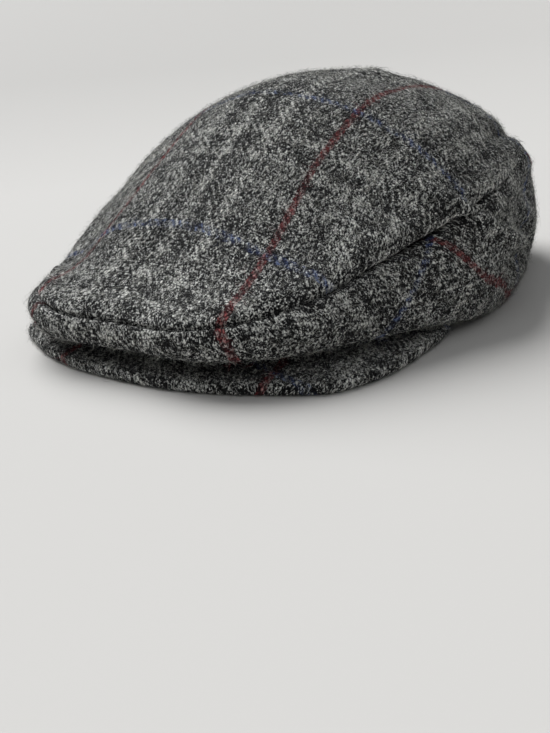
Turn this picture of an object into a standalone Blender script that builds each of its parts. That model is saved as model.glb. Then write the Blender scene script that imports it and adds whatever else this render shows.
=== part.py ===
"""Flat cap of wool tweed: a top panel, a side panel round the head and a stiff peak.
Metres, Z up. The peak points to -Y and the wearer's left side is +X. The cap lies on the floor
as it would by itself, on the front edge of its peak and on the cloth round the head opening."""
import math

import bpy
import numpy as np

# Cloth and fits
CLOTH = 0.0022        # wall of tweed, as thick as the cloth with its backing
GAP = 0.0003          # clear space between two pieces that are sewn together
SEAM_SINK = 0.0014    # how deep the seam lies below the two panels
LEAST_COSINE = 0.6    # least cosine of the angle at which the two panels meet the plane of the seam

# Crown, measured on the seam between top panel and side panel
CROWN_LENGTH = 0.2656
CROWN_WIDTH = 0.2034
CROWN_HEIGHT = 0.1050

# Head opening, for a head of about 57 cm round
HEAD_LENGTH = 0.1980
HEAD_WIDTH = 0.1660
HEAD_BACK = 0.0080    # its centre lies this far behind the middle of the seam

# Peak
PEAK_WIDTH = 0.2010
PEAK_DEPTH = 0.1040   # from its front edge back to its ends, measured along Y
PEAK_OUT = 0.0030     # how far its front edge stands in front of the seam
PEAK_THICK = 0.0046
END_SHARE = 0.62      # thickness at its ends, as a share of PEAK_THICK
THIN_POWER = 4        # how late it thins out towards its ends
LIP_SHARE = 0.25      # how far its rounded edge stands out, as a share of its thickness
PEAK_ANGLE = math.radians(60)  # how far it reaches round the head opening, to either side
PEAK_DROP = 0.0008    # how far its inner edge lies below the rim of the side panel

# Cloth as one plain colour
TWEED = (0.085, 0.087, 0.090)
TWEED_ROUGH = 0.95

# Mesh counts
AROUND = 88
SIDE_ROWS = 15
PEAK_STEPS = 44
# Shares of the way from the head opening to the front edge. What lies past the last but one is flat.
PEAK_ROW_SHARES = (0, 0.20, 0.40, 0.60, 0.76, 0.88, 1)

# Seam between top panel and side panel, from front to back, mirrored for the other side.
# Shares of half CROWN_WIDTH, half CROWN_LENGTH and CROWN_HEIGHT.
SEAM_SHARES = (
    # across  along  height
    (0.00, -1.00, 0.235),
    (0.36, -1.00, 0.245),
    (0.71, -0.80, 0.290),
    (0.91, -0.43, 0.385),
    (1.03, -0.08, 0.470),
    (0.98,  0.38, 0.545),
    (0.81,  0.74, 0.600),
    (0.44,  0.96, 0.640),
    (0.00,  1.00, 0.665))

# Section of the side panel at each row of SEAM_SHARES: its widest line, the line where it turns under
# and the rim of the head opening. The two outs are measured from the seam, as shares of half
# CROWN_WIDTH, the heights as shares of CROWN_HEIGHT. What falls below 0 is pressed flat by the floor.
SIDE_SHARES = (
    # belly_out  belly_high  turn_out  turn_high  rim_high
    (0.020, 0.170, -0.025, 0.120,  0.215),
    (0.025, 0.185, -0.030, 0.120,  0.205),
    (0.055, 0.205, -0.010, 0.100,  0.175),
    (0.060, 0.225,  0.030, 0.095,  0.115),
    (0.080, 0.255,  0.045, 0.020,  0.045),
    (0.070, 0.290,  0.035, 0.015,  0.000),
    (0.080, 0.340,  0.030, 0.040, -0.025),
    (0.065, 0.325,  0.015, 0.090, -0.035),
    (0.060, 0.335,  0.010, 0.100, -0.040))

# Ridge line of the top panel along the middle of the cap. Shares of half CROWN_LENGTH and CROWN_HEIGHT.
CREST_SHARES = (
    # along  height
    (-1.00, 0.455),
    (-0.75, 0.590),
    (-0.45, 0.785),
    (-0.15, 0.960),
    (0.15, 1.030),
    (0.45, 1.075),
    (0.75, 1.035),
    (1.00, 0.825))
DOME_POWER = 2.0      # how flat the top panel is in its middle
RIM_POWER = 1.2       # how steeply it meets the seam
RING_SHARES = (0.07, 0.17, 0.28, 0.39, 0.50, 0.60, 0.69, 0.77, 0.84, 0.90, 0.95, 0.98, 1.00)

# Folds and dents of the cloth, each along a straight line, some of them across the seam. The ends
# are shares of half CROWN_WIDTH, half CROWN_LENGTH and CROWN_HEIGHT, the width and the lift of half
# CROWN_WIDTH. A lift below 0 is a dent.
FOLD_SHARES = (
    # across_1  along_1  high_1  across_2  along_2  high_2  width  lift
    (0.86, -0.26, 0.64, 1.02, -0.17, 0.49, 0.085, 0.016),
    (1.02, -0.17, 0.49, 1.10, 0.06, 0.36, 0.085, 0.026),
    (1.10, 0.06, 0.36, 1.05, 0.40, 0.28, 0.090, 0.022),
    (1.05, -0.06, 0.50, 1.09, 0.12, 0.44, 0.085, -0.026),
    (1.09, 0.12, 0.44, 1.01, 0.44, 0.41, 0.095, -0.032),
    (0.87, -0.58, 0.33, 1.02, -0.20, 0.44, 0.055, -0.012),
    (0.30, 0.15, 1.02, 0.62, 0.48, 0.92, 0.120, -0.018),
    (-1.08, 0.02, 0.42, -0.98, 0.45, 0.42, 0.100, -0.024),
    (-1.08, -0.05, 0.28, -1.02, 0.40, 0.26, 0.090, 0.018),
    (-0.40, 1.00, 0.50, 0.35, 1.02, 0.46, 0.100, -0.018))

# Outer edge of the peak from its middle to one end, mirrored for the other side.
# Shares of half PEAK_WIDTH, PEAK_DEPTH and PEAK_THICK.
PEAK_SHARES = (
    # across  back  lift
    (0.00, 0.00, 0.00),
    (0.25, 0.01, 0.00),
    (0.46, 0.04, 0.00),
    (0.68, 0.115, 0.00),
    (0.79, 0.17, 0.00),
    (0.87, 0.24, 0.00),
    (0.93, 0.345, 0.00),
    (0.975, 0.48, 0.00),
    (1.00, 0.69, 0.05),
    (0.995, 0.85, 0.10),
    (0.96, 0.94, 0.12),
    (0.88, 0.99, 0.12),
    (0.78, 1.00, 0.12))
SLOPE_POWER = 1.5     # how much its slope flattens towards the front edge

HALF_LENGTH = CROWN_LENGTH / 2
HALF_WIDTH = CROWN_WIDTH / 2


def mirrored(rows, flipped=None):
    """A closed loop of rows from one half of it, with the flipped column negated on the way back."""
    rows = np.array(rows, float)
    back = rows[-2:0:-1].copy()
    if flipped is not None:
        back[:, flipped] *= -1
    return np.concatenate([rows, back])


def closed_curve(rows, count):
    """count points on the smooth closed curve through all rows."""
    size = len(rows)
    spread = (4 * np.eye(size) + np.roll(np.eye(size), 1, 0) + np.roll(np.eye(size), -1, 0)) / 6
    control = np.linalg.solve(spread, rows)
    place = np.arange(count) * size / count
    first = np.floor(place).astype(int)
    part = (place - first)[:, None]
    weights = ((1 - part) ** 3, 3 * part ** 3 - 6 * part ** 2 + 4,
               -3 * part ** 3 + 3 * part ** 2 + 3 * part + 1, part ** 3)
    return sum(w * control[(first + k - 1) % size] for k, w in enumerate(weights)) / 6


def open_curve(knots, rows, at):
    """Values at the places at, on the smooth curve that passes through rows at knots."""
    knots, rows = np.array(knots, float), np.array(rows, float)
    slope = np.gradient(rows, knots, axis=0)
    left = np.clip(np.searchsorted(knots, at) - 1, 0, len(knots) - 2)
    step = knots[left + 1] - knots[left]
    part = np.clip((at - knots[left]) / step, 0, 1)
    if rows.ndim > 1:
        step, part = step[:, None], part[:, None]
    return (rows[left] * (1 + 2 * part) * (1 - part) ** 2 + slope[left] * step * part * (1 - part) ** 2
            + rows[left + 1] * part ** 2 * (3 - 2 * part) - slope[left + 1] * step * part ** 2 * (1 - part))


def unit(vectors):
    return vectors / np.linalg.norm(vectors, axis=-1, keepdims=True)


def grid_normals(grid):
    """Outward normals of a grid whose rows run from the top down and whose columns go round +Z."""
    down = np.gradient(grid, axis=0)
    around = np.roll(grid, -1, 1) - np.roll(grid, 1, 1)
    return unit(np.cross(down, around))


def folded(grid):
    """The grid with each fold pushed out and each dent pushed in along its normals."""
    size = np.array([HALF_WIDTH, HALF_LENGTH, CROWN_HEIGHT])
    push = np.zeros(grid.shape[:2])
    for fold in FOLD_SHARES:
        start, end = np.array(fold[0:3]) * size, np.array(fold[3:6]) * size
        width, lift = fold[6] * HALF_WIDTH, fold[7] * HALF_WIDTH
        along = end - start
        part = np.clip(((grid - start) @ along) / (along @ along), 0, 1)
        away = np.linalg.norm(grid - start - part[..., None] * along, axis=-1)
        push += lift * np.exp(-(away / width) ** 2)
    return grid + grid_normals(grid) * push[..., None]


def seam_loop():
    """The seam as a closed loop of points, from the middle of the front round by +X."""
    return closed_curve(mirrored(SEAM_SHARES, 0), AROUND) * [HALF_WIDTH, HALF_LENGTH, CROWN_HEIGHT]


def crest_height(along):
    """Height of the ridge line of the top panel at places along Y."""
    places, heights = np.array(CREST_SHARES).T
    return open_curve(places, heights, along / HALF_LENGTH) * CROWN_HEIGHT


def top_grid(seam):
    """Outer face of the top panel, ring by ring from its middle to the seam."""
    share = np.array(RING_SHARES)[:, None, None]
    grid = seam[None] * [1, 1, 0] * share + seam[None] * [0, 0, 1]
    crest = crest_height(grid[..., 1].ravel()).reshape(grid.shape[:2])
    rise = np.maximum(0, 1 - share[..., 0] ** DOME_POWER) ** (1 / RIM_POWER)
    grid[..., 2] += (crest - grid[..., 2]) * rise
    return grid


def rim_points(turn):
    """The rim of the head opening in plan. A turn of 0 is the front, and +X is a quarter turn."""
    return np.stack([HEAD_WIDTH / 2 * np.sin(turn), HEAD_BACK - HEAD_LENGTH / 2 * np.cos(turn)], -1)


def side_grid(seam):
    """Outer face of the side panel, row by row from the seam down and under to the rim."""
    belly_out, belly_high, turn_out, turn_high, rim_high = closed_curve(mirrored(SIDE_SHARES), AROUND).T
    ahead = np.roll(seam, -1, 0) - np.roll(seam, 1, 0)
    outward = unit(np.stack([ahead[:, 1], -ahead[:, 0]], -1))
    turn = np.arctan2(seam[:, 0] / HALF_WIDTH, -seam[:, 1] / HALF_LENGTH)

    def line(plan, high):
        return np.concatenate([plan, (high * CROWN_HEIGHT)[:, None]], 1)
    belly = line(seam[:, :2] + outward * (belly_out * HALF_WIDTH)[:, None], belly_high)
    under = line(seam[:, :2] + outward * (turn_out * HALF_WIDTH)[:, None], turn_high)
    rim = line(rim_points(turn), rim_high)
    # A smooth curve through the four lines, which runs on past the first and the last
    lines = [2 * seam - belly, seam, belly, under, rim, rim + (rim - under) / 2]
    rows = []
    for place in np.linspace(0, 3, SIDE_ROWS):
        k = min(int(place), 2)
        t = place - k
        a, b, c, d = lines[k:k + 4]
        rows.append((2 * b + (c - a) * t + (2 * a - 5 * b + 4 * c - d) * t ** 2
                     + (3 * b - a - 3 * c + d) * t ** 3) / 2)
    return np.array(rows)


def rim_height(turn):
    """Height of the rim of the side panel at a turn round the head opening."""
    seam = seam_loop()
    high = closed_curve(mirrored(SIDE_SHARES), AROUND)[:, 4] * CROWN_HEIGHT
    turns = np.arctan2(seam[:, 0] / HALF_WIDTH, -seam[:, 1] / HALF_LENGTH)
    order = np.argsort(turns)
    return np.interp(turn, turns[order], high[order])


def add_piece(name, points, faces):
    mesh = bpy.data.meshes.new(name)
    mesh.from_pydata([tuple(p) for p in points], [], faces)
    mesh.validate()
    material = bpy.data.materials.new(name + "_cloth")
    material.use_nodes = True
    shader = material.node_tree.nodes["Principled BSDF"]
    shader.inputs["Base Color"].default_value = (*TWEED, 1)
    shader.inputs["Roughness"].default_value = TWEED_ROUGH
    shader.inputs["Metallic"].default_value = 0
    mesh.materials.append(material)
    bpy.context.scene.collection.objects.link(bpy.data.objects.new(name, mesh))


def strips(rows, columns, first, closed_columns=True, flip=False):
    """Triangles of a grid of points numbered from first, row by row."""
    faces = []
    for i in range(rows - 1):
        for j in range(columns if closed_columns else columns - 1):
            k = (j + 1) % columns
            a, b = first + i * columns + j, first + i * columns + k
            c, d = a + columns, b + columns
            for face in ((a, c, d), (a, d, b)):
                faces.append(face[::-1] if flip else face)
    return faces


def panel(name, outer, inner, middle=None):
    """A cloth wall between an outer and an inner grid. middle closes both with a point each."""
    rows, columns = outer.shape[:2]
    points = np.concatenate([outer.reshape(-1, 3), inner.reshape(-1, 3)])
    half = rows * columns
    faces = strips(rows, columns, 0) + strips(rows, columns, half, flip=True)
    last = (rows - 1) * columns
    for j in range(columns):
        k = (j + 1) % columns
        faces += [(last + j, half + last + j, half + last + k), (last + j, half + last + k, last + k)]
        if middle is None:
            faces += [(j, half + k, half + j), (j, k, half + k)]
    if middle is not None:
        points = np.concatenate([points, middle])
        for j in range(columns):
            k = (j + 1) % columns
            faces += [(2 * half, j, k), (2 * half + 1, half + k, half + j)]
    add_piece(name, points, faces)


def make_crown():
    seam = seam_loop()
    top, side = folded(top_grid(seam)), folded(side_grid(seam))
    side[..., 2] = np.maximum(side[..., 2], 0)
    seam = (top[-1] + side[0]) / 2
    top[-1] = side[0] = seam
    # Both panels meet in one plane through the seam, half way between their two faces
    top_out, side_out = grid_normals(top), grid_normals(side)
    ahead = np.roll(seam, -1, 0) - np.roll(seam, 1, 0)
    between = unit(unit(np.cross(top[-1] - top[-2], ahead)) + unit(np.cross(side[1] - side[0], ahead)))
    reach = CLOTH / np.clip((between * top_out[-2]).sum(1), LEAST_COSINE, 1)
    across = unit(np.cross(ahead, between))
    across *= np.sign((across * (top[-2] - seam)).sum(1))[:, None]
    edge = seam - between * SEAM_SINK
    corner = edge - between * reach[:, None]
    top_in, side_in = top - top_out * CLOTH, side - side_out * CLOTH
    top[-1], top_in[-1] = edge + across * GAP / 2, corner + across * GAP / 2
    side[0], side_in[0] = edge - across * GAP / 2, corner - across * GAP / 2
    high = crest_height(np.zeros(1))[0]
    middle = np.array([[0, 0, high], [0, 0, high - CLOTH]])
    panel("top_panel", top, top_in, middle)
    panel("side_panel", side, side_in)


def make_peak():
    steps = np.linspace(-1, 1, PEAK_STEPS + 1)
    half_rows = np.array(PEAK_SHARES, float)
    rows = np.concatenate([half_rows[:0:-1] * [-1, 1, 1], half_rows])
    run = np.concatenate([[0], np.cumsum(np.linalg.norm(np.diff(rows[:, :2], axis=0), axis=1))])
    edge = open_curve(run / run[-1] * 2 - 1, rows, steps)
    front = SEAM_SHARES[0][1] * HALF_LENGTH - PEAK_OUT
    outer = np.stack([edge[:, 0] * PEAK_WIDTH / 2, front + edge[:, 1] * PEAK_DEPTH], -1)
    turn = steps * PEAK_ANGLE
    inner = rim_points(turn)
    thick = PEAK_THICK * (1 - (1 - END_SHARE) * np.abs(steps) ** THIN_POWER)
    low = edge[:, 2] * PEAK_THICK
    high = rim_height(turn) - PEAK_DROP - thick
    sections = []
    for t in PEAK_ROW_SHARES:
        plan = inner + (outer - inner) * t
        rise = max(0.0, 1 - t / PEAK_ROW_SHARES[-2]) ** SLOPE_POWER
        sections.append(np.column_stack([plan, low + (high - low) * rise]))
    bottom = np.array(sections)
    top = bottom[::-1].copy()
    top[..., 2] += thick
    # The edge is rounded by a lip half way up, and by drawing its two corners in
    lip_out = unit(outer - inner) * (thick * LIP_SHARE)[:, None]
    lip = bottom[-1] + np.column_stack([lip_out, thick / 2])
    bottom[-1, :, :2] -= lip_out / 2
    top[0, :, :2] -= lip_out / 2
    loop = np.concatenate([bottom, lip[None], top]).transpose(1, 0, 2)
    count, size = loop.shape[:2]
    last = len(PEAK_ROW_SHARES) - 1
    faces = strips(count, size, 0)
    for first, flip in ((0, False), ((count - 1) * size, True)):
        for j in range(last):
            a, b = first + j, first + j + 1
            c, d = first + size - 1 - j, first + size - 2 - j
            for face in ((a, b, d), (a, d, c)):
                faces.append(face[::-1] if flip else face)
        a, b, c = first + last, first + last + 1, first + last + 2
        faces.append((c, b, a) if flip else (a, b, c))
    add_piece("peak", loop.reshape(-1, 3), faces)


for old in list(bpy.data.objects):
    bpy.data.objects.remove(old, do_unlink=True)
make_crown()
make_peak()
corners = np.array([list(v.co) for o in bpy.data.objects for v in o.data.vertices])
middle = (corners.min(0) + corners.max(0)) / 2 * [1, 1, 0]
for piece in bpy.data.objects:
    for vertex in piece.data.vertices:
        vertex.co = [c - m for c, m in zip(vertex.co, middle)]
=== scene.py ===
"""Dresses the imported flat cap: the two panels of its crown and its peak in wool tweed with a
windowpane check, the loose wool on them, a pale floor, soft light and the camera."""

import math

import bpy
import numpy as np
from mathutils import Matrix, Vector


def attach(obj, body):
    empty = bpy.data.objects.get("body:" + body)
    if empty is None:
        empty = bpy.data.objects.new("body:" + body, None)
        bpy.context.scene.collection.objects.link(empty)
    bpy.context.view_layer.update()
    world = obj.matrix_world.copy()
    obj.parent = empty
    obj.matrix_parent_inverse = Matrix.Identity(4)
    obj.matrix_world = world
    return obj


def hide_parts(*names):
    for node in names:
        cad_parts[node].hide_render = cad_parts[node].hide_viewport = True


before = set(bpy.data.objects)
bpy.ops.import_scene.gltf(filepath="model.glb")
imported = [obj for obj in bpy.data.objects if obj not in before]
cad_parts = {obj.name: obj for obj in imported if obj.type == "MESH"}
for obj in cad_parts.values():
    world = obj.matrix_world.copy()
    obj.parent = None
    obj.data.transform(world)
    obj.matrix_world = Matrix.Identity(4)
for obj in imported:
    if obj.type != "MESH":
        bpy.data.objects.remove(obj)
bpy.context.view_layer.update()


# CROWN
# Two panels of wool tweed: the domed top panel, cut in one piece, and the side panel, a horseshoe of
# cloth between it and the head opening. They are sewn together all round, and the seam is pressed
# open underneath, so that the cloth rolls down into it from both sides.
CROWN_LENGTH, CROWN_WIDTH, CROWN_HEIGHT = 0.2656, 0.2034, 0.1050
HALF = np.array([CROWN_WIDTH / 2, CROWN_LENGTH / 2, CROWN_HEIGHT])     # and the whole height
CLOTH = 0.0022        # thickness of the wool cloth
AROUND = 480          # columns of each grid, round the crown

# Half of the seam from front to back, as shares of HALF
SEAM = (
    # across  along  height
    (0.00, -1.00, 0.235),
    (0.36, -1.00, 0.245),
    (0.71, -0.80, 0.290),
    (0.91, -0.43, 0.385),
    (1.03, -0.08, 0.470),
    (0.98, 0.38, 0.545),
    (0.81, 0.74, 0.600),
    (0.44, 0.96, 0.640),
    (0.00, 1.00, 0.665))

# Ridge line along the middle of the top panel
CREST = (
    # along  height
    (-1.00, 0.455),
    (-0.75, 0.590),
    (-0.45, 0.785),
    (-0.15, 0.960),
    (0.15, 1.030),
    (0.45, 1.075),
    (0.75, 1.035),
    (1.00, 0.825))
# A higher DOME_POWER makes the dome flatter on top, and a higher RIM_POWER rounder at the seam
DOME_POWER, RIM_POWER = 2.0, 1.2


def mirrored(rows, flipped=None):
    """A closed loop of rows from one half of it, with the flipped column negated on the way back."""
    rows = np.array(rows, float)
    back = rows[-2:0:-1].copy()
    if flipped is not None:
        back[:, flipped] *= -1
    return np.concatenate([rows, back])


def closed_curve(rows, count):
    """count points on the smooth closed curve through all rows."""
    size = len(rows)
    spread = (4 * np.eye(size) + np.roll(np.eye(size), 1, 0) + np.roll(np.eye(size), -1, 0)) / 6
    control = np.linalg.solve(spread, rows)
    place = np.arange(count) * size / count
    first = np.floor(place).astype(int)
    part = (place - first)[:, None]
    weights = ((1 - part) ** 3, 3 * part ** 3 - 6 * part ** 2 + 4,
               -3 * part ** 3 + 3 * part ** 2 + 3 * part + 1, part ** 3)
    return sum(w * control[(first + k - 1) % size] for k, w in enumerate(weights)) / 6


def open_curve(knots, rows, at):
    """Values at the places at, on the smooth curve that passes through rows at knots."""
    knots, rows = np.array(knots, float), np.array(rows, float)
    slope = np.gradient(rows, knots, axis=0)
    left = np.clip(np.searchsorted(knots, at) - 1, 0, len(knots) - 2)
    step = knots[left + 1] - knots[left]
    part = np.clip((at - knots[left]) / step, 0, 1)
    if rows.ndim > 1:
        step, part = step[:, None], part[:, None]
    leaving = rows[left] * (1 + 2 * part) * (1 - part) ** 2 + slope[left] * step * part * (1 - part) ** 2
    nearing = rows[left + 1] * part ** 2 * (3 - 2 * part) - slope[left + 1] * step * part ** 2 * (1 - part)
    return leaving + nearing


def unit(vectors):
    """The vectors at a length of 1."""
    return vectors / np.maximum(np.linalg.norm(vectors, axis=-1, keepdims=True), 1e-12)


seam = closed_curve(mirrored(SEAM, 0), AROUND) * HALF
seam_ahead = np.roll(seam, -1, 0) - np.roll(seam, 1, 0)
seam_run = np.concatenate([[0], np.cumsum(np.linalg.norm(np.diff(seam, axis=0), axis=1))])

# The top panel's rings widen from a small one in the middle to the seam, where they lie closer
# together because the cloth rolls down there
ring_share = np.concatenate([np.linspace(0.03, 0.93, 70), np.linspace(0.94, 1, 30)])[:, None]
crest_places, crest_heights = np.array(CREST).T
top = seam[None] * [1, 1, 0] * ring_share[..., None] + seam[None] * [0, 0, 1]
ridge = open_curve(crest_places, crest_heights, top[..., 1].ravel() / HALF[1])
ridge = ridge.reshape(top.shape[:2]) * HALF[2]
top[..., 2] += (ridge - top[..., 2]) * (1 - ring_share ** DOME_POWER) ** (1 / RIM_POWER)

# Where a place on the top panel lies in the flat cloth: as far across and along as the cloth goes
# over the dome. The check's red lines then run from front to back, and its blue lines across. The
# cloth is drawn together towards the front seam, and bows forwards on the wearer's left.
PULL = (
    # along   widening  shift
    (-0.130, 0.900, 0.0004),
    (-0.090, 0.950, -0.0013),
    (-0.050, 1.035, -0.0032),
    (-0.015, 0.990, -0.0040),
    (0.100, 0.990, -0.0040))
BOW, BOW_AT, BOW_WIDE, BOW_LONG = 0.0050, 0.045, 0.032, 0.09


def dome_height(x, y):
    """Height of the smooth dome over places in plan."""
    turn = np.arctan2(x, -y)
    seam_turn = np.unwrap(np.arctan2(seam[:, 0], -seam[:, 1]))
    seam_turn = np.concatenate([seam_turn, [seam_turn[0] + 2 * math.pi]])
    closed = np.concatenate([seam, seam[:1]])
    turn = np.where(turn < seam_turn[0], turn + 2 * math.pi, turn)
    reach = np.interp(turn, seam_turn, np.hypot(closed[:, 0], closed[:, 1]))
    foot = np.interp(turn, seam_turn, closed[:, 2])
    share = np.clip(np.hypot(x, y) / reach, 0, 1)
    crest = open_curve(crest_places, crest_heights, y.ravel() / HALF[1]).reshape(y.shape) * HALF[2]
    return foot + (crest - foot) * (1 - share ** DOME_POWER) ** (1 / RIM_POWER)


def length_over(x0, y0, x1, y1):
    """Length over the dome of straight lines in plan."""
    part = np.linspace(0, 1, 40)[:, None]
    x, y = x0 + (x1 - x0) * part, y0 + (y1 - y0) * part
    steps = np.stack([np.diff(x, axis=0), np.diff(y, axis=0), np.diff(dome_height(x, y), axis=0)])
    return np.sqrt((steps ** 2).sum(0)).sum(0)


plan = top.reshape(-1, 3)[:, :2]
zero = np.zeros(len(plan))
across = np.sign(plan[:, 0]) * length_over(zero, plan[:, 1], plan[:, 0], plan[:, 1])
along = np.sign(plan[:, 1]) * length_over(plan[:, 0], zero, plan[:, 0], plan[:, 1])
bow = BOW * np.exp(-((across - BOW_AT) / BOW_WIDE) ** 2) * np.clip(-along / BOW_LONG, 0, 1)
pull_along, pull_widening, pull_shift = np.array(PULL).T
across = (across * np.interp(plan[:, 1], pull_along, pull_widening)
          + np.interp(plan[:, 1], pull_along, pull_shift))
top_cloth = np.stack([across, along + bow], -1).reshape(*top.shape[:2], 2)

# Half of the side panel, with a row for each row of SEAM. It is low over the peak and deep round
# the back, bulges out at its belly and turns under to the rim of the head opening. The places are
# out from the seam as shares of half the width, and up as shares of the height.
HEAD_LENGTH, HEAD_WIDTH, HEAD_BACK = 0.1980, 0.1660, 0.0080
SIDE = (
    # belly_out  belly_high  turn_out  turn_high  rim_high
    (0.004, 0.158, -0.055, 0.120, 0.215),
    (0.004, 0.174, -0.065, 0.122, 0.205),
    (0.042, 0.196, -0.025, 0.098, 0.175),
    (0.060, 0.215, 0.030, 0.075, 0.115),
    (0.080, 0.255, 0.045, 0.020, 0.045),
    (0.070, 0.290, 0.035, 0.015, 0.000),
    (0.080, 0.340, 0.030, 0.040, -0.025),
    (0.065, 0.325, 0.015, 0.090, -0.035),
    (0.060, 0.335, 0.010, 0.100, -0.040))


def rim_points(turn):
    """The rim of the head opening in plan. A turn of 0 is the front, and +X is a quarter turn."""
    return np.stack([HEAD_WIDTH / 2 * np.sin(turn), HEAD_BACK - HEAD_LENGTH / 2 * np.cos(turn)], -1)


belly_out, belly_high, turn_out, turn_high, rim_high = closed_curve(mirrored(SIDE), AROUND).T
outward = unit(np.stack([seam_ahead[:, 1], -seam_ahead[:, 0]], -1))
seam_turns = np.arctan2(seam[:, 0] / HALF[0], -seam[:, 1] / HALF[1])
belly = np.column_stack([seam[:, :2] + outward * (belly_out * HALF[0])[:, None], belly_high * HALF[2]])
under = np.column_stack([seam[:, :2] + outward * (turn_out * HALF[0])[:, None], turn_high * HALF[2]])
rim = np.column_stack([rim_points(seam_turns), rim_high * HALF[2]])

# Its rows follow smooth curves down through those four lines, and lie closer together at the seam
lines = [2 * seam - belly, seam, belly, under, rim, rim + (rim - under) / 2]
side = []
for place in np.concatenate([np.linspace(0, 0.25, 26)[:-1], np.linspace(0.25, 3, 70)]):
    k = min(int(place), 2)
    t = place - k
    a, b, c, d = lines[k:k + 4]
    side.append((2 * b + (c - a) * t + (2 * a - 5 * b + 4 * c - d) * t ** 2
                 + (3 * b - a - 3 * c + d) * t ** 3) / 2)
side = np.array(side)

# Folds and dents, each along a line from one place to another, given as shares of HALF. Widths and
# lifts are shares of half the width.
FOLDS = (
    # across_1  along_1  high_1  across_2  along_2  high_2  width  lift
    (0.86, -0.26, 0.64, 1.02, -0.17, 0.49, 0.085, 0.016),
    (1.02, -0.17, 0.49, 1.10, 0.06, 0.36, 0.085, 0.026),
    (1.10, 0.06, 0.36, 1.05, 0.40, 0.28, 0.090, 0.022),
    (1.05, -0.06, 0.50, 1.09, 0.12, 0.44, 0.085, -0.026),
    (1.09, 0.12, 0.44, 1.01, 0.44, 0.41, 0.095, -0.032),
    (0.87, -0.58, 0.33, 1.02, -0.20, 0.44, 0.055, -0.012),
    (-0.65, -0.57, 0.47, -0.63, -0.70, 0.39, 0.180, -0.046),
    (0.30, 0.15, 1.02, 0.62, 0.48, 0.92, 0.120, -0.018),
    (-1.08, 0.02, 0.42, -0.98, 0.45, 0.42, 0.100, -0.024),
    (-1.08, -0.05, 0.28, -1.02, 0.40, 0.26, 0.090, 0.018),
    (-0.40, 1.00, 0.50, 0.35, 1.02, 0.46, 0.100, -0.018))

# Narrower creases in the cloth alone: where the crown sags over the wearer's left ear, at the back
# of its left shoulder, on its crest, and a bulge at the front's right corner
CREASES = (
    # across_1  along_1  high_1  across_2  along_2  high_2  width  lift
    (0.870, -0.245, 0.585, 0.970, -0.210, 0.515, 0.050, 0.014),
    (0.970, -0.210, 0.515, 1.065, -0.113, 0.415, 0.050, 0.030),
    (1.065, -0.113, 0.415, 1.119, 0.013, 0.338, 0.050, 0.044),
    (1.119, 0.013, 0.338, 1.105, 0.171, 0.261, 0.055, 0.048),
    (1.105, 0.171, 0.261, 1.060, 0.400, 0.160, 0.070, 0.030),
    (1.000, -0.150, 0.520, 1.050, -0.050, 0.450, 0.042, -0.046),
    (1.050, -0.050, 0.450, 1.090, 0.060, 0.385, 0.055, -0.075),
    (1.090, 0.060, 0.385, 1.095, 0.180, 0.325, 0.060, -0.084),
    (1.095, 0.180, 0.325, 1.050, 0.420, 0.225, 0.070, -0.075),
    (1.110, 0.100, 0.175, 1.010, 0.560, 0.135, 0.065, -0.062),
    (0.780, 0.740, 0.630, 0.880, 0.360, 0.680, 0.055, -0.040),
    (0.930, 0.620, 0.550, 0.950, 0.430, 0.550, 0.060, 0.018),
    (0.340, 0.420, 0.970, 0.460, 0.160, 0.940, 0.045, -0.013),
    (0.240, 0.360, 1.010, 0.330, 0.120, 1.000, 0.050, 0.011),
    (-0.340, -1.040, 0.170, -0.600, -0.930, 0.190, 0.150, 0.022),
    (0.925, -0.400, 0.385, 1.000, -0.215, 0.440, 0.030, -0.012))
LUMP, LUMP_LONG, LUMP_SEED = 0.00040, 0.042, 5      # unevenness of the steamed cloth


def normals_of(grid):
    """Outward normals of a grid whose rows run from the top down and whose columns go round +Z."""
    down = np.gradient(grid, axis=0)
    around = np.roll(grid, -1, 1) - np.roll(grid, 1, 1)
    return unit(np.cross(down, around))


def folded(grid, folds):
    """The grid with its folds pushed out and its dents pushed in."""
    ridges, dents = np.zeros(grid.shape[:2]), np.zeros(grid.shape[:2])
    for fold in folds:
        start, end = np.array(fold[0:3]) * HALF, np.array(fold[3:6]) * HALF
        width, lift = fold[6] * HALF[0], fold[7] * HALF[0]
        line = end - start
        part = np.clip(((grid - start) @ line) / (line @ line), 0, 1)
        away = np.linalg.norm(grid - start - part[..., None] * line, axis=-1)
        push = lift * np.exp(-(away / width) ** 2)
        ridges, dents = np.maximum(ridges, push), np.minimum(dents, push)
    return grid + normals_of(grid) * (ridges + dents)[..., None]


def lumps(points, size, seed):
    """Smooth uneven values of about -1 to 1 at points in space, with waves of about that size."""
    chance = np.random.default_rng(seed)
    total = np.zeros(points.shape[:-1])
    for _ in range(14):
        wave = unit(chance.normal(size=3)) * 2 * math.pi / (size * chance.uniform(0.7, 1.6))
        total += np.sin(points @ wave + chance.uniform(0, 2 * math.pi))
    return total / 4


def walked(grid):
    """How far each point of a grid lies from its first row, measured down its column."""
    steps = np.linalg.norm(np.diff(grid, axis=0), axis=-1)
    return np.concatenate([np.zeros((1, grid.shape[1])), np.cumsum(steps, 0)])


# Both panels are folded alike, and meet in the seam
for folds in (FOLDS, CREASES):
    top, side = folded(top, folds), folded(side, folds)
top += normals_of(top) * (LUMP * lumps(top, LUMP_LONG, LUMP_SEED))[..., None]
side += normals_of(side) * (LUMP * lumps(side, LUMP_LONG, LUMP_SEED))[..., None]
seam_line = (top[-1] + side[0]) / 2
top[-1] = side[0] = seam_line

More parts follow.
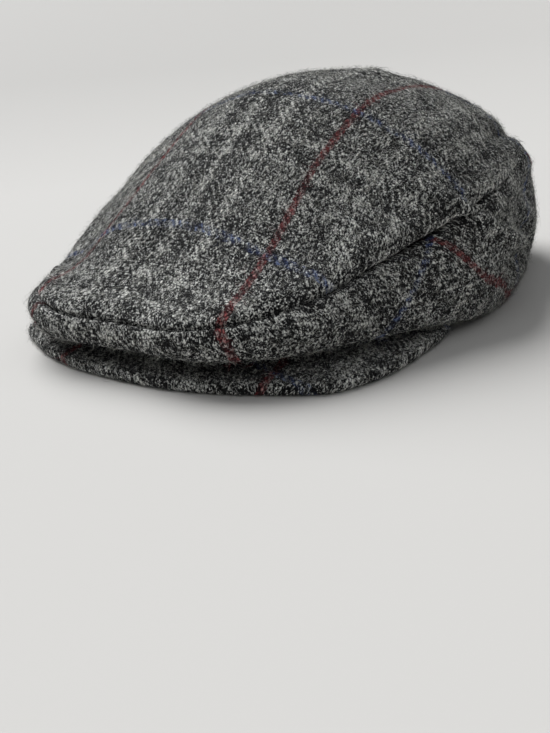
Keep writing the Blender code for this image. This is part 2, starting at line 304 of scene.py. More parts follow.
# The cloth rolls down on both sides to its edges, which meet underneath. Behind the fold over each
# ear the seam lies shallow.
SEAM_SINK, SEAM_GAP, EDGE_GAP = 0.0042, 0.0009, 0.0001
SEAM_SHALLOW = 0.18                     # share of that depth round the back
SHALLOWER_FROM, SHALLOW_FROM = -0.06, 0.14      # along the crown, as shares of half its length
ROLL = 0.0025         # from the seam to where the cloth has rolled out of it
PUFF, PUFF_AT, PUFF_WIDE = 0.0012, 0.0085, 0.0051
PUCKER, PUCKER_LONG, PUCKER_REACH = 0.00010, 0.0125, 0.00765

seam_depth = np.interp(seam[:, 1] / HALF[1], (SHALLOWER_FROM, SHALLOW_FROM), (1, SEAM_SHALLOW))
top_face, side_face = normals_of(top), normals_of(side)
# From how the two panels run into the seam and out of it, between points straight out of the seam,
# half way between their faces
top_slope, side_slope = unit(seam_line - top[-12]), unit(side[9] - seam_line)
between = unit(unit(np.cross(top_slope, seam_ahead)) + unit(np.cross(side_slope, seam_ahead)))
across_seam = unit(np.cross(seam_ahead, between))
across_seam *= -np.sign((across_seam * (side_slope + top_slope)).sum(1))[:, None]
edge = seam_line - between * (SEAM_SINK * seam_depth)[:, None]
corner = edge - between * CLOTH
apart = across_seam * (SEAM_GAP / 2 * seam_depth)[:, None]
top_walk, side_walk = walked(top), walked(side)


def rolled(grid, off_seam, face, apart):
    """The grid with its cloth rolled down into the seam, and puffed out and puckered beside it.
    off_seam is how far each point lies from the seam, and apart is this panel's half of its gap."""
    near = np.clip(1 - off_seam / ROLL, 0, 1)
    sink = SEAM_SINK * seam_depth * (1 - np.sqrt(1 - near ** 2))
    puff = PUFF * np.exp(-((off_seam - PUFF_AT) / PUFF_WIDE) ** 2)
    # The puckers come at uneven distances, and start a millimetre away from the seam
    turns = seam_run / PUCKER_LONG
    puckers = np.sin(turns * 2 * math.pi + 2.5 * np.sin(turns * 0.61))
    puff = puff + PUCKER * puckers * np.exp(-off_seam / PUCKER_REACH) * np.minimum(1, off_seam / 0.001)
    inward = unit(between[None] * near[..., None] + face * (1 - near[..., None]))
    return grid - inward * sink[..., None] + face * puff[..., None] + apart * near[..., None] ** 2


# The inside of each panel is plain, with fewer rows, and only the side panel rests on the floor
top_rows = np.append(np.arange(0, len(top), 7), len(top) - 1)
side_rows = np.concatenate([[0], np.arange(4, len(side) - 1, 6), [len(side) - 1]])
top_in = (top - top_face * CLOTH)[top_rows]
side_in = (side - side_face * CLOTH)[side_rows]
top = rolled(top, top_walk[-1] - top_walk, top_face, apart)
side = rolled(side, side_walk, side_face, -apart)
side[..., 2], side_in[..., 2] = np.maximum(side[..., 2], 0), np.maximum(side_in[..., 2], CLOTH)
top[-1], top_in[-1] = edge + apart, corner + across_seam * EDGE_GAP / 2
side[0], side_in[0] = edge - apart, corner - across_seam * EDGE_GAP / 2

# How the side panel's cloth lies along the seam, from the middle of the front to that of the back
GRAIN = (
    # run    across  along    turn in degrees
    (0.000, 0.0000, -0.1225, 0.0),
    (0.054, 0.0505, -0.1320, -21.0),
    (0.154, 0.1450, -0.1870, -43.0),
    (0.276, 0.2410, -0.2750, -50.0),
    (0.394, 0.3230, -0.3650, -55.0))
GRAIN_SHIFT = -0.0020


def side_cloth(run, off_seam, hand):
    """Where places on the side panel lie in the flat cloth. hand is 1 on the wearer's left, or -1."""
    grain = np.array(GRAIN)
    across, along, turn = open_curve(grain[:, 0], grain[:, 1:], run).T
    turn = np.radians(turn)
    u = GRAIN_SHIFT + hand * (across + off_seam * np.sin(turn))
    return np.stack([u, along - off_seam * np.cos(turn)], -1)


whole_run = seam_run[-1] + np.linalg.norm(seam[0] - seam[-1])
half_way = AROUND // 2
ends_run = np.append(seam_run, whole_run)
ends_walk = np.concatenate([side_walk, side_walk[:, :1]], 1)
left_cloth = side_cloth(ends_run[:half_way + 1], ends_walk[:, :half_way + 1], 1)
right_cloth = side_cloth(whole_run - ends_run[half_way:], ends_walk[:, half_way:], -1)
side_start = np.concatenate([left_cloth[:, :-1], right_cloth[:, :-1]], 1)
side_end = np.concatenate([left_cloth[:, 1:], right_cloth[:, 1:]], 1)
top_end = np.roll(top_cloth, -1, 1)

# The tweed is a 2/2 twill of thick woollen yarn, about nine to the centimetre each way, mottled
# charcoal and pale grey. Warp and weft each carry a windowpane: three red or blue yarns, and half
# way between them pale ones with dark yarns on both sides.
REPEAT_ACROSS, REPEAT_ALONG = 0.0940, 0.0855
ENDS_A_REPEAT, PICKS_A_REPEAT = 86, 78
DYED_YARNS = 3
YARN = REPEAT_ACROSS / ENDS_A_REPEAT
# How far the coloured lines lie from the middle of the cloth, in repeats
LINE_ACROSS, LINE_ALONG = 42.5 / ENDS_A_REPEAT, -15.5 / PICKS_A_REPEAT
# How pale the yarns are, counted in yarns from the coloured line
WARP_TONES = (
    (0, 0.42), (2, 0.42), (3, 0.47), (9, 0.50), (14, 0.46), (22, 0.48), (24, 0.78), (27, 0.78),
    (29, 0.50), (33, 0.36), (36, 0.30), (38.5, 0.38), (40, 0.80), (43.5, 0.72), (45.5, 0.34),
    (50, 0.24), (53, 0.34), (57, 0.48), (59, 0.80), (62, 0.78), (64, 0.46), (69, 0.40),
    (74, 0.54), (77, 0.54), (80, 0.47), (86, 0.42))
WEFT_TONES = (
    (0, 0.47), (3, 0.46), (7, 0.38), (10, 0.38), (16, 0.46), (24, 0.52), (30, 0.48), (35, 0.40),
    (38, 0.36), (40, 0.68), (42, 0.68), (44, 0.38), (48, 0.32), (51, 0.44), (53, 0.84),
    (55, 0.84), (57, 0.48), (64, 0.46), (70, 0.38), (75, 0.36), (78, 0.47))
# How much the single floats differ in tone, and the yarns along their length
FLECK, STREAK = 0.75, 0.60
# Mottled wool from its darkest to its palest fibres, and the dyed wool of the two lines
WOOL = (
    (0.33, "030406"), (0.465, "0b0d11"), (0.572, "26292c"), (0.668, "696c6c"), (0.758, "b5b7b3"),
    (0.84, "e8e9e5"))
RED_WOOL = ((0.0, "25080c"), (0.5, "6a1f27"), (1.0, "a34f4d"))
BLUE_WOOL = ((0.0, "0f1630"), (0.5, "30447a"), (1.0, "7b90bd"))


def linear(code):
    """The linear colour of an sRGB hex code."""
    parts = [int(code[i:i + 2], 16) / 255 for i in (0, 2, 4)]
    return tuple(v / 12.92 if v <= 0.04045 else ((v + 0.055) / 1.055) ** 2.4 for v in parts) + (1.0,)


def add_node(tree, kind, links=None, stops=(), **settings):
    """Adds a node with its settings. Each input in links is joined to a node or output, or set to
    a value, and stops are the places and colours of a ramp."""
    made = tree.nodes.new("ShaderNode" + kind)
    for name, value in settings.items():
        setattr(made, name, value)
    for _ in stops[2:]:
        made.color_ramp.elements.new(1)
    for number, (place, colour) in enumerate(stops):
        made.color_ramp.elements[number].position = place
        made.color_ramp.elements[number].color = colour
    for key, value in (links or {}).items():
        if isinstance(value, bpy.types.Node):
            tree.links.new(value.outputs[0], made.inputs[key])
        elif isinstance(value, bpy.types.NodeSocket):
            tree.links.new(value, made.inputs[key])
        else:
            made.inputs[key].default_value = value
    return made


def woven_tweed():
    """The tweed, as a woolly twill with flecks and hairs that stay dull from every side. Scales of
    noise count waves to a metre of cloth, so 260 is a wave of about 4 mm."""
    material = bpy.data.materials.new("woven_wool_tweed")
    material.use_nodes = True
    tree = material.node_tree
    tree.nodes.clear()
    place = add_node(tree, "UVMap", uv_map="cloth")
    # The yarns wander by about a third of their own width, and their woolly edges by a little less
    moved = place
    for scale, reach in ((260.0, 1.3), (1100.0, 1.0)):
        wander = add_node(tree, "TexNoise", {"Vector": place, "Scale": scale, "Detail": 1.0})
        step = add_node(tree, "VectorMath", {0: wander.outputs["Color"], 1: (0.5, 0.5, 0.5)},
                        operation="SUBTRACT")
        step = add_node(tree, "VectorMath", {0: step, 3: YARN * reach}, operation="SCALE")
        moved = add_node(tree, "VectorMath", {0: moved, 1: step}, operation="ADD")
    parts = add_node(tree, "SeparateXYZ", {0: moved})
    warp_place = add_node(tree, "Math", {0: parts.outputs[0], 1: 1 / YARN}, operation="MULTIPLY")
    weft_place = add_node(tree, "Math", {0: parts.outputs[1], 1: PICKS_A_REPEAT / REPEAT_ALONG},
                          operation="MULTIPLY")
    end = add_node(tree, "Math", {0: warp_place}, operation="FLOOR")
    pick = add_node(tree, "Math", {0: weft_place}, operation="FLOOR")
    heights, tones, dyed = [], [], []
    for yarn, along_place, across_place, sign, count, shift, tones_of_yarns in (
            (end, weft_place, warp_place, 1, ENDS_A_REPEAT, LINE_ACROSS, WARP_TONES),
            (pick, warp_place, weft_place, -1, PICKS_A_REPEAT, LINE_ALONG, WEFT_TONES)):
        # It floats over two yarns and dips under two, one step further with each yarn
        turn = add_node(tree, "Math", {0: yarn, 1: along_place}, operation="ADD")
        turn = add_node(tree, "Math", {0: turn, 1: math.pi / 2, 2: -math.pi / 2},
                        operation="MULTIPLY_ADD")
        wave = add_node(tree, "Math", {0: turn}, operation="COSINE")
        wave = add_node(tree, "Math", {0: wave, 1: float(sign)}, operation="MULTIPLY")
        # It is round, so it falls away to both sides of its middle
        off = add_node(tree, "Math", {0: across_place, 1: yarn}, operation="SUBTRACT")
        off = add_node(tree, "Math", {0: off, 1: 0.5}, operation="SUBTRACT")
        off = add_node(tree, "Math", {0: off, 1: off}, operation="MULTIPLY")
        heights.append(add_node(tree, "Math", {0: off, 1: -2.4, 2: wave}, operation="MULTIPLY_ADD"))
        # Each float has its own tone, and the yarn also runs paler and darker along its length
        float_number = add_node(tree, "Math", {0: turn, 1: 2 * math.pi}, operation="DIVIDE")
        float_number = add_node(tree, "Math", {0: float_number, 1: 0.5}, operation="ADD")
        float_number = add_node(tree, "Math", {0: float_number}, operation="FLOOR")
        key = add_node(tree, "CombineXYZ", {0: yarn, 1: float_number, 2: 3.0 + sign})
        chance = add_node(tree, "TexWhiteNoise", {"Vector": key}, noise_dimensions="3D")
        streak_place = add_node(tree, "CombineXYZ", {0: yarn, 1: along_place, 2: 7.0 + sign})
        streak_place = add_node(tree, "VectorMath", {0: streak_place, 1: (1.7, 0.16, 1.0)},
                                operation="MULTIPLY")
        streak = add_node(tree, "TexNoise", {"Vector": streak_place, "Scale": 1.0, "Detail": 1.0})
        share = add_node(tree, "Math", {0: yarn, 1: 1 / count, 2: 0.5 / count - shift},
                         operation="MULTIPLY_ADD")
        share = add_node(tree, "Math", {0: share}, operation="FRACT")
        tone = add_node(tree, "ValToRGB", {0: share},
                        [(stop / count, (grey, grey, grey, 1)) for stop, grey in tones_of_yarns])
        tone = add_node(tree, "Math", {0: tone, 1: -(FLECK + STREAK) / 2}, operation="ADD")
        tone = add_node(tree, "Math", {0: chance.outputs[0], 1: FLECK, 2: tone},
                        operation="MULTIPLY_ADD")
        tones.append(add_node(tree, "Math", {0: streak, 1: STREAK, 2: tone},
                              operation="MULTIPLY_ADD"))
        # The dyed yarns are the first of each repeat
        dyed.append(add_node(tree, "Math", {0: share, 1: DYED_YARNS / count}, operation="LESS_THAN"))
    # Whichever yarn floats higher is the one that shows
    lead = add_node(tree, "Math", {0: heights[0], 1: heights[1]}, operation="SUBTRACT")
    lead = add_node(tree, "MapRange", {0: lead, 1: -0.4, 2: 0.4})
    height = add_node(tree, "Math", {0: heights[0], 1: heights[1]}, operation="MAXIMUM")
    tone = add_node(tree, "Mix", {0: lead, 2: tones[1], 3: tones[0]})
    # The wool is unevenly mixed, so that the cloth is cloudy over about a centimetre
    cloudy = add_node(tree, "TexNoise", {"Vector": place, "Scale": 120.0, "Detail": 2.0,
                                         "Roughness": 0.6})
    tone = add_node(tree, "Math", {0: cloudy, 1: 0.55, 2: tone}, operation="MULTIPLY_ADD")
    tone = add_node(tree, "Math", {0: tone, 1: -0.275}, operation="ADD")
    # Curled fibres lie over the weave, mostly along the warp, as fine pale and dark lines. Real
    # ones are a third as wide.
    combed = add_node(tree, "VectorMath", {0: place, 1: (1.2, 0.84, 1.0)}, operation="MULTIPLY")
    for field, scale, width, strength in ((1.0, 560.0, 0.070, 0.55), (2.0, 800.0, 0.080, 0.50),
                                          (3.0, 640.0, 0.080, -0.52), (4.0, 950.0, 0.090, -0.48)):
        curl = add_node(tree, "TexNoise", {"Vector": combed, "W": field, "Scale": scale,
                                           "Detail": 1.0, "Roughness": 0.4}, noise_dimensions="4D")
        off = add_node(tree, "Math", {0: curl, 1: 0.5}, operation="SUBTRACT")
        off = add_node(tree, "Math", {0: off}, operation="ABSOLUTE")
        line = add_node(tree, "MapRange", {0: off, 1: 0.0, 2: width, 3: strength, 4: 0.0})
        tone = add_node(tree, "Math", {0: tone, 1: line}, operation="ADD")
    fine = add_node(tree, "TexNoise", {"Vector": combed, "Scale": 2200.0, "Detail": 2.0,
                                       "Roughness": 0.65})
    tone = add_node(tree, "Math", {0: fine, 1: 1.1, 2: tone}, operation="MULTIPLY_ADD")
    tone = add_node(tree, "Math", {0: tone, 1: -0.55}, operation="ADD")
    wool = add_node(tree, "ValToRGB", {0: tone}, [(stop, linear(code)) for stop, code in WOOL])
    # The dyed wool's fuzz also partly covers the other yarns where they float over it, and is worn
    # thin in places
    colour = wool
    for mask, lowest, highest, thinnest, dyed_wool in ((dyed[0], 0.50, 0.95, 0.75, RED_WOOL),
                                                       (dyed[1], 0.85, 0.20, 0.15, BLUE_WOOL)):
        cover = add_node(tree, "MapRange", {0: lead, 3: lowest, 4: highest})
        worn = add_node(tree, "MapRange", {0: cloudy, 1: 0.42, 2: 0.58, 3: thinnest, 4: 1.0})
        cover = add_node(tree, "Math", {0: cover, 1: worn}, operation="MULTIPLY")
        cover = add_node(tree, "Math", {0: cover, 1: mask}, operation="MULTIPLY")
        dye = add_node(tree, "ValToRGB", {0: tone}, [(stop, linear(code)) for stop, code in dyed_wool])
        colour = add_node(tree, "Mix", {0: cover, 6: colour, 7: dye}, data_type="RGBA").outputs[2]
    # Low places between yarns lie in shade
    shade = add_node(tree, "MapRange", {0: height, 1: -0.1, 2: 0.9, 3: 0.42, 4: 1.12})
    colour = add_node(tree, "Mix", {0: 1.0, 6: colour, 7: shade}, data_type="RGBA",
                      blend_type="MULTIPLY").outputs[2]
    relief = add_node(tree, "Math", {0: tone, 1: 0.8, 2: height}, operation="MULTIPLY_ADD")
    bump = add_node(tree, "Bump", {"Height": relief, "Strength": 0.9, "Distance": 0.0006})
    # Wool is dull, with a faint sheen from its fuzz
    surface = add_node(tree, "BsdfPrincipled", {
        "Base Color": colour, "Roughness": 0.92, "Normal": bump, "Specular IOR Level": 0.12,
        "Sheen Weight": 0.05, "Sheen Roughness": 0.5})
    add_node(tree, "OutputMaterial", {"Surface": surface})
    return material


tweed = woven_tweed()


def strip(rows, columns, first, flip=False, closed=True):
    """Quads of a grid of points numbered from first, row by row."""
    span = np.arange(columns if closed else columns - 1)
    i, j = [v.ravel() for v in np.meshgrid(np.arange(rows - 1), span, indexing="ij")]
    a, b = first + i * columns + j, first + i * columns + (j + 1) % columns
    quads = np.stack([a, a + columns, b + columns, b], 1)
    return quads[:, ::-1] if flip else quads


def wrapped(start, end, flip=False):
    """Where the corners of strip's quads lie in the flat cloth, from the places of each column of
    quads at its start and at its end."""
    corners = np.stack([start[:-1], start[1:], end[1:], end[:-1]], 2).reshape(-1, 4, 2)
    return corners[:, ::-1] if flip else corners


def cloth_object(name, points, faces, cloth):
    """A smooth-shaded piece of tweed. Its UV map holds where each face corner lies in the flat
    cloth."""
    mesh = bpy.data.meshes.new(name)
    mesh.from_pydata(points.tolist(), [], [face for part in faces for face in part.tolist()])
    mesh.polygons.foreach_set("use_smooth", np.ones(len(mesh.polygons), bool))
    layer = mesh.uv_layers.new(name="cloth")
    corners = np.concatenate([np.asarray(part, np.float32).reshape(-1, 2) for part in cloth])
    layer.data.foreach_set("uv", corners.ravel())
    mesh.materials.append(tweed)
    made = bpy.data.objects.new(name, mesh)
    bpy.context.scene.collection.objects.link(made)
    return made


def panel(name, outer, inner, kept_rows, start, end, closed_top):
    """A wall of cloth between an outer and an inner grid. With a closed top both end in one point.
    kept_rows are the outer grid's rows that the inner one keeps."""
    rows, columns = outer.shape[:2]
    half = rows * columns
    points = np.concatenate([outer.reshape(-1, 3), inner.reshape(-1, 3)])
    faces = [strip(rows, columns, 0), strip(len(inner), columns, half, flip=True)]
    cloth = [wrapped(start, end), wrapped(start[kept_rows], end[kept_rows], flip=True)]
    j = np.arange(columns)
    k = (j + 1) % columns
    out_last, in_last = (rows - 1) * columns, half + (len(inner) - 1) * columns
    faces.append(np.stack([out_last + j, in_last + j, in_last + k, out_last + k], 1))
    turned = [start[-1], start[-1] - CLOTH, end[-1] - CLOTH, end[-1]]
    cloth.append(np.stack(turned, 1))
    if closed_top:
        centre = len(points)
        points = np.concatenate([points, [outer[0].mean(0), inner[0].mean(0)]])
        faces += [np.stack([np.full(columns, centre), j, k], 1),
                  np.stack([np.full(columns, centre + 1), half + k, half + j], 1)]
        middle = np.repeat(start[0].mean(0)[None], columns, 0)
        cloth += [np.stack([middle, start[0], end[0]], 1), np.stack([middle, end[0], start[0]], 1)]
    else:
        faces.append(np.stack([j, k, half + k, half + j], 1))
        cloth.append(np.stack([start[0], end[0], end[0] + CLOTH, start[0] + CLOTH], 1))
    return cloth_object(name, points, faces, cloth)


top_piece = panel("top_cloth", top, top_in, top_rows, top_cloth, top_end, True)
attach(top_piece, "root")
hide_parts("top_panel")
side_piece = panel("side_cloth", side, side_in, side_rows, side_start, side_end, False)
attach(side_piece, "root")
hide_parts("side_panel")

# Loose fibres stand out of the cloth all over, many of them pale. They are about twice as wide as
# real wool, so that half as many give the same cover.
FIBRE_WIDE, FIBRE_LONG, LENGTH_SPREAD = 0.00008, 0.0034, 0.45
FIBRE_LOW, FIBRE_HIGH = (0.00008, 0.00042), (0.0004, 0.0021)
STANDING = 0.33       # share of them that stand up
FIBRE_BEND = (0.5, 3.8)
ROOT_DEPTH, OVER_FLOOR = 0.00005, 0.00005
TAPER = ((0.0, 1.0), (0.27, 0.95), (0.53, 0.8), (0.78, 0.55), (1.0, 0.0))      # along, and width
PALE_SHARE, PALE_GAIN, MEAN_TONE, PALE_LIMITS = 0.34, 1.4, 0.47, (0.08, 0.9)
GREY_SHARE = 0.3      # of those that aren't pale
RED_SHARE, BLUE_SHARE = 0.75, 0.40      # of those on the coloured lines
SEAM_BARE = 0.0027    # beside the seam, so that it shows
TOP_FIBRES, SIDE_FIBRES = 25000, 19000      # in each of two pieces
# Wool scatters light softly, and only its pale fibres catch the eye
FIBRE_COLOURS = {"pale_wool_fibre": "d4d5cd", "grey_wool_fibre": "6b6e6f",
                 "charcoal_wool_fibre": "0c0e11", "red_wool_fibre": "702329",
                 "blue_wool_fibre": "344470"}
fibre_wools = []
for name, code in FIBRE_COLOURS.items():
    wool = bpy.data.materials.new(name)
    wool.use_nodes = True
    wool.node_tree.nodes["Principled BSDF"].inputs["Base Color"].default_value = linear(code)
    wool.node_tree.nodes["Principled BSDF"].inputs["Roughness"].default_value = 0.7
    wool.node_tree.nodes["Principled BSDF"].inputs["Specular IOR Level"].default_value = 0.25
    fibre_wools.append(wool)


def loose_wool(name, points, ends, start, end, rooted, count, seed, outward=1):
    """Curled fibres that taper to a point, on a grid of cloth wherever rooted holds. points and
    ends are the grid's columns and the next ones round, and start and end are their places in the
    flat cloth. outward is -1 for a grid that faces the other way."""
    chance = np.random.default_rng(seed)
    normal = np.cross(points[1:] - points[:-1], ends[:-1] - points[:-1]) * outward
    area = np.linalg.norm(normal, axis=-1) * rooted
    cell = chance.choice(area.size, count, p=area.ravel() / area.sum())
    row, column = np.unravel_index(cell, area.shape)
    across, down = chance.random((2, count, 1))
    root, flat = [(one[row, column] * (1 - across) + two[row, column] * across) * (1 - down)
                  + (one[row + 1, column] * (1 - across) + two[row + 1, column] * across) * down
                  for one, two in ((points, ends), (start, end))]
    up = unit(normal[row, column])
    ahead = unit(np.cross(up, chance.normal(size=(count, 3))))
    beside = np.cross(up, ahead)
    long = FIBRE_LONG * np.exp(chance.normal(0, LENGTH_SPREAD, (count, 1)))
    standing = chance.random((count, 1)) < STANDING
    high = np.where(standing, chance.uniform(*FIBRE_HIGH, (count, 1)),
                    chance.uniform(*FIBRE_LOW, (count, 1)))
    bend = chance.choice([-1, 1], (count, 1)) * chance.uniform(*FIBRE_BEND, (count, 1))
    reach = np.where(standing, chance.uniform(0.4, 0.9, (count, 1)), 0.95)
    roll = chance.uniform(0, math.pi, (count, 1))
    corners = []
    for t, wide in TAPER:
        middle = (root + ahead * np.sin(bend * t) / bend * long
                  + beside * (1 - np.cos(bend * t)) / bend * long
                  + up * (high * np.sin(math.pi * reach * t) - ROOT_DEPTH))
        flank = (beside * np.cos(bend * t) - ahead * np.sin(bend * t)) * np.cos(roll) + up * np.sin(roll)
        if wide:
            corners += [middle - flank * FIBRE_WIDE / 2 * wide, middle + flank * FIBRE_WIDE / 2 * wide]
        else:
            corners.append(middle)
    corners = np.stack(corners, 1)
    corners[..., 2] = np.maximum(corners[..., 2], OVER_FLOOR)
    # Three quads and a triangle at the tip, on nine points
    first = np.arange(count)[:, None] * 9
    quads = [first + [k, k + 1, k + 3, k + 2] for k in (0, 2, 4)]
    faces = np.concatenate(quads).tolist() + (first + [6, 7, 8]).tolist()
    # Where the cloth is paler more of them are pale, and along the check's lines they are dyed
    warp_share = (flat[:, 0] / REPEAT_ACROSS + 0.5 / ENDS_A_REPEAT - LINE_ACROSS) % 1
    weft_share = (flat[:, 1] / REPEAT_ALONG + 0.5 / PICKS_A_REPEAT - LINE_ALONG) % 1
    tone = (np.interp(warp_share * ENDS_A_REPEAT, *np.array(WARP_TONES).T)
            + np.interp(weft_share * PICKS_A_REPEAT, *np.array(WEFT_TONES).T)) / 2
    draw = chance.random(count)
    pale = np.clip(PALE_SHARE + PALE_GAIN * (tone - MEAN_TONE), *PALE_LIMITS)
    kind = np.where(draw < pale, 0, np.where(draw < pale + (1 - pale) * GREY_SHARE, 1, 2))
    red = (warp_share < DYED_YARNS / ENDS_A_REPEAT) & (chance.random(count) < RED_SHARE)
    blue = (weft_share < DYED_YARNS / PICKS_A_REPEAT) & (chance.random(count) < BLUE_SHARE)
    kind = np.where(blue, 4, np.where(red, 3, kind))
    mesh = bpy.data.meshes.new(name)
    mesh.from_pydata(corners.reshape(-1, 3).tolist(), [], faces)
    mesh.polygons.foreach_set("use_smooth", np.ones(count * 4, bool))
    mesh.polygons.foreach_set("material_index", np.tile(kind, 4).astype(np.int32))
    for wool in fibre_wools:
        mesh.materials.append(wool)
    made = bpy.data.objects.new(name, mesh)
    bpy.context.scene.collection.objects.link(made)
    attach(made, "root")


for number in (1, 2):
    loose_wool(f"top_fibres_{number}", top, np.roll(top, -1, 1), top_cloth, top_end,
               (top_walk[-1] - top_walk)[1:] > SEAM_BARE, TOP_FIBRES, seed=10 + number)
    loose_wool(f"side_fibres_{number}", side, np.roll(side, -1, 1), side_start, side_end,
               side_walk[:-1] > SEAM_BARE, SIDE_FIBRES, seed=20 + number)


# PEAK
# A short stiff board covered in the same tweed, sewn to the side panel under the front of the crown.
# The cloth is drawn round the board's edge, which leaves the edge soft and rounded.
PEAK_WIDTH, PEAK_DEPTH = 0.2010, 0.1040
PEAK_OUT = 0.0030     # how far it stands out in front of the seam
PEAK_DROP = 0.0008    # its gap under the rim of the head opening
PEAK_THICK, PEAK_END_SHARE = 0.0046, 0.62       # in the middle, and the share of that at its ends
PEAK_TURN = math.radians(60)
PEAK_RIGHT = 0.97     # the peak's right half reaches a little less far out than its left
PEAK_FLAT_AT = 0.97   # share of the way out at which the peak has come down to lie flat
PEAK_HOLLOW = 3.2     # how fast it comes down from the rim of the head opening
PEAK_STEPS = 360
PEAK_FIBRES = 12000
PEAK = (
    # across  back  lift
    (0.00, 0.00, 0.00),
    (0.25, 0.01, 0.00),
    (0.46, 0.05, 0.00),
    (0.68, 0.13, 0.00),
    (0.79, 0.18, 0.00),
    (0.88, 0.235, 0.00),
    (0.945, 0.335, 0.00),
    (0.995, 0.47, 0.00),
    (1.02, 0.69, 0.05),
    (1.02, 0.88, 0.10),
    (0.99, 1.00, 0.12),
    (0.91, 1.06, 0.12),
    (0.80, 1.07, 0.12))

steps = np.linspace(-1, 1, PEAK_STEPS + 1)
half_peak = np.array(PEAK, float)
peak_rows = np.concatenate([half_peak[:0:-1] * [-PEAK_RIGHT, 1, 1], half_peak])
peak_run = np.cumsum(np.linalg.norm(np.diff(peak_rows[:, :2], axis=0), axis=1))
peak_run = np.concatenate([[0], peak_run])
peak_edge = open_curve(peak_run / peak_run[-1] * 2 - 1, peak_rows, steps)
peak_out = np.stack([peak_edge[:, 0] * PEAK_WIDTH / 2,
                     SEAM[0][1] * HALF[1] - PEAK_OUT + peak_edge[:, 1] * PEAK_DEPTH], -1)
peak_in = rim_points(steps * PEAK_TURN)
away = unit(peak_out - peak_in)
thick = PEAK_THICK * (1 - (1 - PEAK_END_SHARE) * np.abs(steps) ** 4)
order = np.argsort(seam_turns)
low = peak_edge[:, 2] * PEAK_THICK
rim_there = np.interp(steps * PEAK_TURN, seam_turns[order], rim_high[order] * HALF[2])
high = rim_there - PEAK_DROP - thick
below = []
for share in np.linspace(0, 1, 30):
    plan = peak_in + (peak_out - peak_in) * share
    rise = max(0.0, 1 - share / PEAK_FLAT_AT) ** PEAK_HOLLOW
    below.append(np.column_stack([plan, low + (high - low) * rise]))
below = np.array(below)
above = below[::-1] + thick[:, None] * [0, 0, 1]

# The rounded lip goes round the board's edge from below to above. Its reach is in thicknesses.
LIP_OUT, LIP_ROUND = 0.25, 0.42
lip = []
for turn in np.linspace(-math.pi / 2, math.pi / 2, 13)[1:-1]:
    out = (math.cos(turn) - 1) * LIP_ROUND * thick[:, None] * away + LIP_OUT * thick[:, None] * away
    lip.append(below[-1] + np.column_stack([out, thick * (1 + math.sin(turn)) / 2]))
lip = np.array(lip)
for face_end in (below[-1], above[0]):
    face_end[:, :2] += (LIP_OUT - LIP_ROUND) * thick[:, None] * away
upper = np.concatenate([lip, above])

# The red line leans on the peak, and the blue one slants
PEAK_CHECK_WIDE, PEAK_CHECK_AT, PEAK_CHECK_SHIFT = 0.91, 0.0135, 0.0145
PEAK_LEAN, PEAK_LEAN_FROM = 0.26, -0.118
PEAK_SLANT, PEAK_SLANT_FROM = 0.30, 0.075


def peak_cloth(plan):
    """Where places on the peak lie in the flat cloth."""
    x, y = plan[..., 0], plan[..., 1]
    across = (x - PEAK_CHECK_AT + PEAK_LEAN * (y - PEAK_LEAN_FROM)) * PEAK_CHECK_WIDE
    return np.stack([across, y + PEAK_SLANT * (x - PEAK_SLANT_FROM) + PEAK_CHECK_SHIFT], -1)


def peak_section(grid, first, cloth):
    """The faces and cloth places of the upper or the lower side of the peak."""
    rows, columns = grid.shape[:2]
    return (strip(rows, columns, first, flip=True, closed=False),
            wrapped(cloth[:, :-1], cloth[:, 1:], flip=True))


# Beyond the edge of the top the flat cloth goes on outwards, by its length round the lip
upper_walk = walked(upper[::-1])[::-1]
upper_far = upper_walk - upper_walk[len(lip)]
on_plan = np.where(upper_far[..., None] > 0, above[:1, :, :2] + away * upper_far[..., None],
                   upper[..., :2])
peak_flat = peak_cloth(on_plan)
upper_faces, upper_cloth = peak_section(upper, 0, peak_flat)
lower_faces, lower_cloth = peak_section(below, upper.shape[0] * upper.shape[1],
                                        peak_cloth(below[..., :2]))
peak_points = np.concatenate([upper.reshape(-1, 3), below.reshape(-1, 3)])
peak_piece = cloth_object("peak_cloth", peak_points, [upper_faces, lower_faces],
                          [upper_cloth, lower_cloth])
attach(peak_piece, "root")
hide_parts("peak")
loose_wool("peak_fibres", upper[:, :-1], upper[:, 1:], peak_flat[:, :-1], peak_flat[:, 1:], 1.0,
           PEAK_FIBRES, seed=31, outward=-1)


# FLOOR
# A plain pale sweep of matt paper for a studio picture: it lies flat under the cap, and is curved up
# gently far away on all sides.
SWEEP_FLAT, SWEEP_BENT, SWEEP_END = 0.55, 1.75, 60.0
SWEEP_SLOPE = 0.22
SWEEP_SIDES = 120
sweep = [(SWEEP_FLAT, 0.0)]
for reach in np.linspace(SWEEP_FLAT, SWEEP_BENT, 41)[1:]:
    rise = SWEEP_SLOPE * (reach - SWEEP_FLAT) ** 2 / (SWEEP_BENT - SWEEP_FLAT) / 2
    sweep.append((reach, rise))
sweep.append((SWEEP_END, rise + SWEEP_SLOPE * (SWEEP_END - SWEEP_BENT)))
round_about = np.linspace(0, 2 * math.pi, SWEEP_SIDES, endpoint=False)
floor_points = [(r * math.cos(a), r * math.sin(a), h) for r, h in sweep for a in round_about]
floor_faces = strip(len(sweep), SWEEP_SIDES, 0).tolist() + [list(range(SWEEP_SIDES))]
floor_mesh = bpy.data.meshes.new("pale_floor")
floor_mesh.from_pydata(floor_points, [], floor_faces)
floor_mesh.polygons.foreach_set("use_smooth", [True] * (len(floor_faces) - 1) + [False])
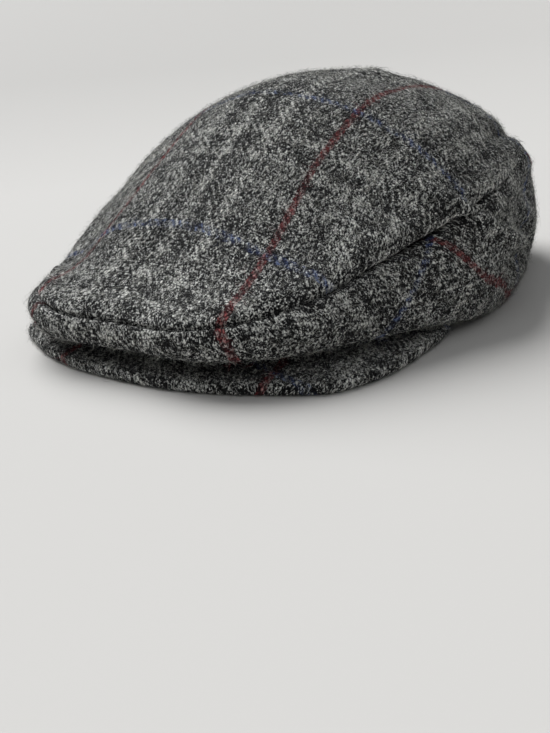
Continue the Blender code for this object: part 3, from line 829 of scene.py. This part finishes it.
# Matt paper scatters the light evenly, so that the floor shows no glare and no grain
paper = bpy.data.materials.new("matt_pale_paper")
paper.use_nodes = True
paper.node_tree.nodes["Principled BSDF"].inputs["Base Color"].default_value = linear("bbbab8")
paper.node_tree.nodes["Principled BSDF"].inputs["Roughness"].default_value = 0.9
paper.node_tree.nodes["Principled BSDF"].inputs["Specular IOR Level"].default_value = 0.1
floor_mesh.materials.append(paper)
floor = bpy.data.objects.new("pale_floor", floor_mesh)
bpy.context.scene.collection.objects.link(floor)


# LIGHT
# A wide soft light as from a window, high at the left of the picture and a little behind the cap,
# and a weaker one as from a pale ceiling. A little light also comes from all over the room.
def soft_light(name, place, power, spread, colour):
    """A light as wide as spread, in degrees, that shines from place towards the cap."""
    lamp = bpy.data.lights.new(name, "SUN")
    lamp.energy, lamp.angle, lamp.color = power, math.radians(spread), colour
    made = bpy.data.objects.new(name, lamp)
    made.location = place
    made.rotation_euler = (-Vector(place)).to_track_quat("-Z", "Y").to_euler()
    bpy.context.scene.collection.objects.link(made)


soft_light("window_light", (-2.7, 1.0, 2.8), 4.8, 45, (1.0, 1.0, 1.0))
soft_light("ceiling_light", (0.0, 0.0, 3.0), 0.9, 110, (0.98, 0.99, 1.0))
world = bpy.data.worlds.new("pale_room")
world.use_nodes = True
world.node_tree.nodes["Background"].inputs["Color"].default_value = linear("e6e8ea")
world.node_tree.nodes["Background"].inputs["Strength"].default_value = 0.08
bpy.context.scene.world = world
# The picture has no film curve, so that the colours keep their strength
bpy.context.scene.view_settings.view_transform = "Standard"


# CAMERA
# It looks at the cap from the front and its wearer's left, a little down. Its place, its lens and the
# two directions of the picture were fitted to the seam, outline and check of the photograph.
VIEW_FROM = Vector((0.22367, -0.31721, 0.11162))
VIEW_RIGHT, VIEW_UP = Vector((0.80906, 0.58102, -0.08855)), Vector((-0.15179, 0.35212, 0.92357))
camera_data = bpy.data.cameras.new("camera")
camera_data.sensor_width = 36.0
camera_data.lens = 36.33
camera = bpy.data.objects.new("camera", camera_data)
turned = Matrix((VIEW_RIGHT, VIEW_UP, VIEW_RIGHT.cross(VIEW_UP))).transposed()
camera.matrix_world = Matrix.Translation(VIEW_FROM) @ turned.to_4x4()
bpy.context.scene.collection.objects.link(camera)
bpy.context.scene.camera = camera
